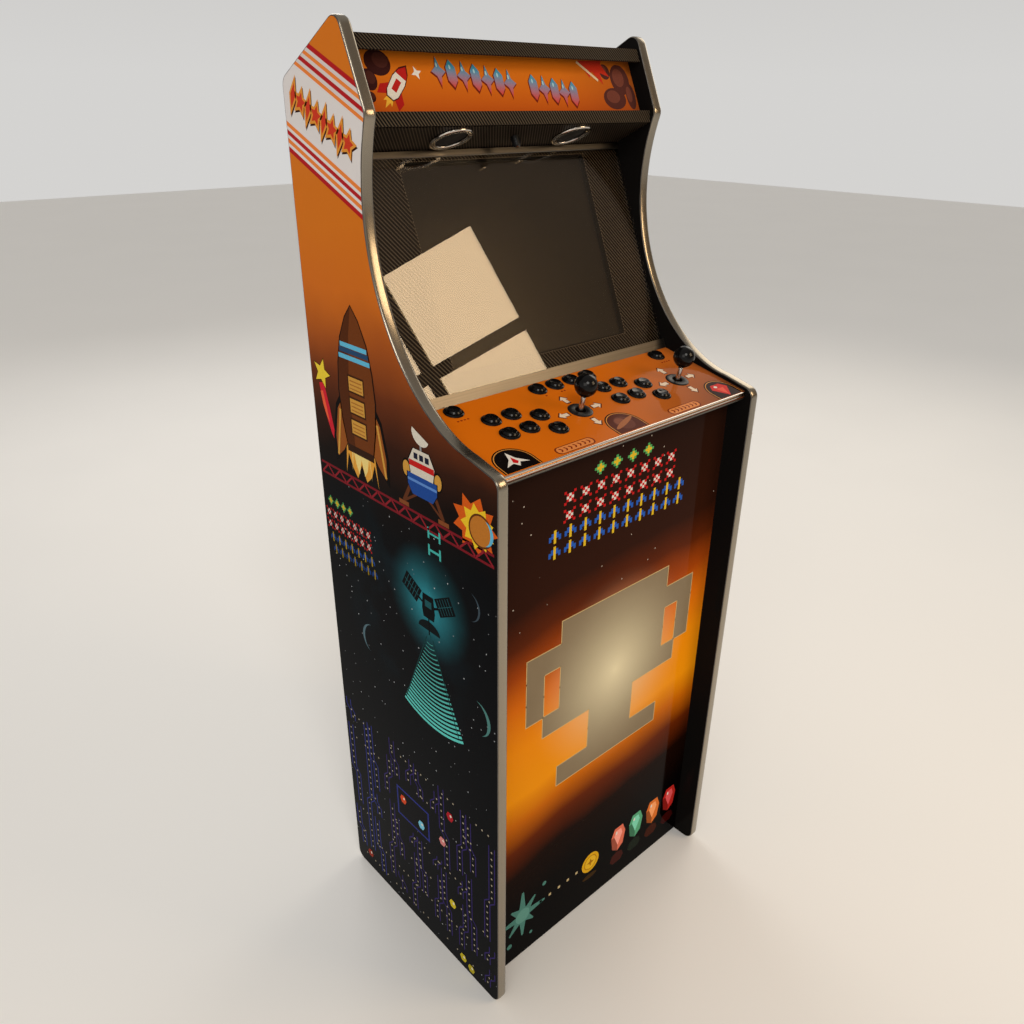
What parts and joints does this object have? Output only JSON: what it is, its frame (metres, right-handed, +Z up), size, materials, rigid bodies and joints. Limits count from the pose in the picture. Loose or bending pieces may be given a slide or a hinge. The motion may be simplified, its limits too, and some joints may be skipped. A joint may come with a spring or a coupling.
{
  "type": "upright arcade cabinet",
  "caption": "Upright two-player arcade cabinet with curved sides, a sloped control panel, a framed screen, a marquee, speakers and a hinged rear door.",
  "frame": {"origin": "on the floor, under the middle of the cabinet's bounding box", "axes": "+X to the right of a player who faces the cabinet, +Y to its back, so that the screen and controls face -Y, and +Z up"},
  "size_m": [0.576, 0.4488, 1.5416],
  "materials": {
    "side_art": "gloss printed vinyl on board",
    "front_art": "gloss printed vinyl on board",
    "control_art": "gloss printed vinyl on board",
    "marquee_art": "printed acrylic",
    "edge_trim": "satin silver",
    "aluminium_strip": "satin",
    "chrome": "polished",
    "steel": "polished",
    "carbon_board": "woven-pattern black vinyl on board",
    "carbon_strip": "woven-pattern black vinyl on an angle",
    "dark_glass": "dark and polished",
    "black_board": "black laminate",
    "raw_board": "bare fibreboard",
    "button_plastic": "glossy black",
    "black_plastic": "matt black",
    "speaker_cone": "matt black",
    "light_tube": "frosted"
  },
  "bodies": {
    "cabinet": {"side_panel_left": "side_art", "side_panel_right": "side_art", "edge_trim_left": "edge_trim", "edge_trim_right": "edge_trim", "front_panel": "front_art", "base_board": "raw_board", "top_panel": "black_board", "rear_panel": "black_board", "door_hinge": "steel", "power_inlet": "black_plastic", "monitor_bezel": "carbon_board", "screen_glass": "dark_glass", "monitor": "black_plastic", "glass_retainer": "aluminium_strip", "marquee_panel": "marquee_art", "marquee_retainer_top": "carbon_strip", "marquee_retainer_bottom": "carbon_strip", "marquee_light": "light_tube", "speaker_panel": "carbon_board", "speaker_edge_strip": "aluminium_strip", "speaker_ring_left": "chrome", "speaker_ring_right": "chrome", "speaker_driver_left": "speaker_cone", "speaker_driver_right": "speaker_cone", "control_panel": "control_art", "control_panel_trim": "chrome", "button_housings_left": "button_plastic", "button_housings_right": "button_plastic", "joystick_base_left": "black_plastic", "dust_washer_left": "black_plastic", "joystick_base_right": "black_plastic", "dust_washer_right": "black_plastic", "game_computer": "black_plastic"},
    "rear_door": {"rear_door": "black_board"},
    "door_lock": {"door_lock": "chrome"},
    "volume_knob": {"volume_knob": "button_plastic"},
    "side_button_left": {"side_button_left": "button_plastic"},
    "action_button_left_1": {"action_button_left_1": "button_plastic"},
    "action_button_left_2": {"action_button_left_2": "button_plastic"},
    "action_button_left_3": {"action_button_left_3": "button_plastic"},
    "action_button_left_4": {"action_button_left_4": "button_plastic"},
    "action_button_left_5": {"action_button_left_5": "button_plastic"},
    "action_button_left_6": {"action_button_left_6": "button_plastic"},
    "centre_button_left_1": {"centre_button_left_1": "button_plastic"},
    "centre_button_left_2": {"centre_button_left_2": "button_plastic"},
    "side_button_right": {"side_button_right": "button_plastic"},
    "action_button_right_1": {"action_button_right_1": "button_plastic"},
    "action_button_right_2": {"action_button_right_2": "button_plastic"},
    "action_button_right_3": {"action_button_right_3": "button_plastic"},
    "action_button_right_4": {"action_button_right_4": "button_plastic"},
    "action_button_right_5": {"action_button_right_5": "button_plastic"},
    "action_button_right_6": {"action_button_right_6": "button_plastic"},
    "centre_button_right_1": {"centre_button_right_1": "button_plastic"},
    "centre_button_right_2": {"centre_button_right_2": "button_plastic"},
    "joystick_pivot_left": {"joystick_yoke_left": "black_plastic"},
    "joystick_left": {"joystick_shaft_left": "steel", "joystick_ball_left": "button_plastic"},
    "joystick_pivot_right": {"joystick_yoke_right": "black_plastic"},
    "joystick_right": {"joystick_shaft_right": "steel", "joystick_ball_right": "button_plastic"}
  },
  "joints": [
    {"name": "rear_door_swing", "type": "hinge", "parent": "cabinet", "child": "rear_door", "pos_m": [0.2655, 0.2123, 0.515], "axis": [0, 0, -1], "range_deg": [0, 100]},
    {"name": "door_lock_turn", "type": "hinge", "parent": "rear_door", "child": "door_lock", "pos_m": [0, 0.2098, 0.9707], "axis": [0, 1, 0], "range_deg": [0, 90]},
    {"name": "volume_turn", "type": "hinge", "parent": "cabinet", "child": "volume_knob", "pos_m": [0, 0.06796, 1.40025], "axis": [0, -0.4258, -0.9048], "range_deg": [-150, 150]},
    {"name": "side_button_left_press", "type": "slide", "parent": "cabinet", "child": "side_button_left", "axis": [0, 0.2199, -0.9755], "range_m": [0, 0.003], "stiffness_N_per_m": 250, "springref_m": -0.002},
    {"name": "action_button_left_1_press", "type": "slide", "parent": "cabinet", "child": "action_button_left_1", "axis": [0, 0.2199, -0.9755], "range_m": [0, 0.003], "stiffness_N_per_m": 250, "springref_m": -0.002},
    {"name": "action_button_left_2_press", "type": "slide", "parent": "cabinet", "child": "action_button_left_2", "axis": [0, 0.2199, -0.9755], "range_m": [0, 0.003], "stiffness_N_per_m": 250, "springref_m": -0.002},
    {"name": "action_button_left_3_press", "type": "slide", "parent": "cabinet", "child": "action_button_left_3", "axis": [0, 0.2199, -0.9755], "range_m": [0, 0.003], "stiffness_N_per_m": 250, "springref_m": -0.002},
    {"name": "action_button_left_4_press", "type": "slide", "parent": "cabinet", "child": "action_button_left_4", "axis": [0, 0.2199, -0.9755], "range_m": [0, 0.003], "stiffness_N_per_m": 250, "springref_m": -0.002},
    {"name": "action_button_left_5_press", "type": "slide", "parent": "cabinet", "child": "action_button_left_5", "axis": [0, 0.2199, -0.9755], "range_m": [0, 0.003], "stiffness_N_per_m": 250, "springref_m": -0.002},
    {"name": "action_button_left_6_press", "type": "slide", "parent": "cabinet", "child": "action_button_left_6", "axis": [0, 0.2199, -0.9755], "range_m": [0, 0.003], "stiffness_N_per_m": 250, "springref_m": -0.002},
    {"name": "centre_button_left_1_press", "type": "slide", "parent": "cabinet", "child": "centre_button_left_1", "axis": [0, 0.2199, -0.9755], "range_m": [0, 0.003], "stiffness_N_per_m": 250, "springref_m": -0.002},
    {"name": "centre_button_left_2_press", "type": "slide", "parent": "cabinet", "child": "centre_button_left_2", "axis": [0, 0.2199, -0.9755], "range_m": [0, 0.003], "stiffness_N_per_m": 250, "springref_m": -0.002},
    {"name": "side_button_right_press", "type": "slide", "parent": "cabinet", "child": "side_button_right", "axis": [0, 0.2199, -0.9755], "range_m": [0, 0.003], "stiffness_N_per_m": 250, "springref_m": -0.002},
    {"name": "action_button_right_1_press", "type": "slide", "parent": "cabinet", "child": "action_button_right_1", "axis": [0, 0.2199, -0.9755], "range_m": [0, 0.003], "stiffness_N_per_m": 250, "springref_m": -0.002},
    {"name": "action_button_right_2_press", "type": "slide", "parent": "cabinet", "child": "action_button_right_2", "axis": [0, 0.2199, -0.9755], "range_m": [0, 0.003], "stiffness_N_per_m": 250, "springref_m": -0.002},
    {"name": "action_button_right_3_press", "type": "slide", "parent": "cabinet", "child": "action_button_right_3", "axis": [0, 0.2199, -0.9755], "range_m": [0, 0.003], "stiffness_N_per_m": 250, "springref_m": -0.002},
    {"name": "action_button_right_4_press", "type": "slide", "parent": "cabinet", "child": "action_button_right_4", "axis": [0, 0.2199, -0.9755], "range_m": [0, 0.003], "stiffness_N_per_m": 250, "springref_m": -0.002},
    {"name": "action_button_right_5_press", "type": "slide", "parent": "cabinet", "child": "action_button_right_5", "axis": [0, 0.2199, -0.9755], "range_m": [0, 0.003], "stiffness_N_per_m": 250, "springref_m": -0.002},
    {"name": "action_button_right_6_press", "type": "slide", "parent": "cabinet", "child": "action_button_right_6", "axis": [0, 0.2199, -0.9755], "range_m": [0, 0.003], "stiffness_N_per_m": 250, "springref_m": -0.002},
    {"name": "centre_button_right_1_press", "type": "slide", "parent": "cabinet", "child": "centre_button_right_1", "axis": [0, 0.2199, -0.9755], "range_m": [0, 0.003], "stiffness_N_per_m": 250, "springref_m": -0.002},
    {"name": "centre_button_right_2_press", "type": "slide", "parent": "cabinet", "child": "centre_button_right_2", "axis": [0, 0.2199, -0.9755], "range_m": [0, 0.003], "stiffness_N_per_m": 250, "springref_m": -0.002},
    {"name": "joystick_left_pitch", "type": "hinge", "parent": "cabinet", "child": "joystick_pivot_left", "pos_m": [-0.0444, -0.12692, 1.01273], "axis": [1, 0, 0], "range_deg": [-7, 7], "stiffness_Nm_per_rad": 2},
    {"name": "joystick_left_roll", "type": "hinge", "parent": "joystick_pivot_left", "child": "joystick_left", "pos_m": [-0.0444, -0.12692, 1.01273], "axis": [0, 0.9755, 0.2199], "range_deg": [-7, 7], "stiffness_Nm_per_rad": 2},
    {"name": "joystick_right_pitch", "type": "hinge", "parent": "cabinet", "child": "joystick_pivot_right", "pos_m": [0.1864, -0.12692, 1.01273], "axis": [1, 0, 0], "range_deg": [-7, 7], "stiffness_Nm_per_rad": 2},
    {"name": "joystick_right_roll", "type": "hinge", "parent": "joystick_pivot_right", "child": "joystick_right", "pos_m": [0.1864, -0.12692, 1.01273], "axis": [0, 0.9755, 0.2199], "range_deg": [-7, 7], "stiffness_Nm_per_rad": 2}
  ]
}
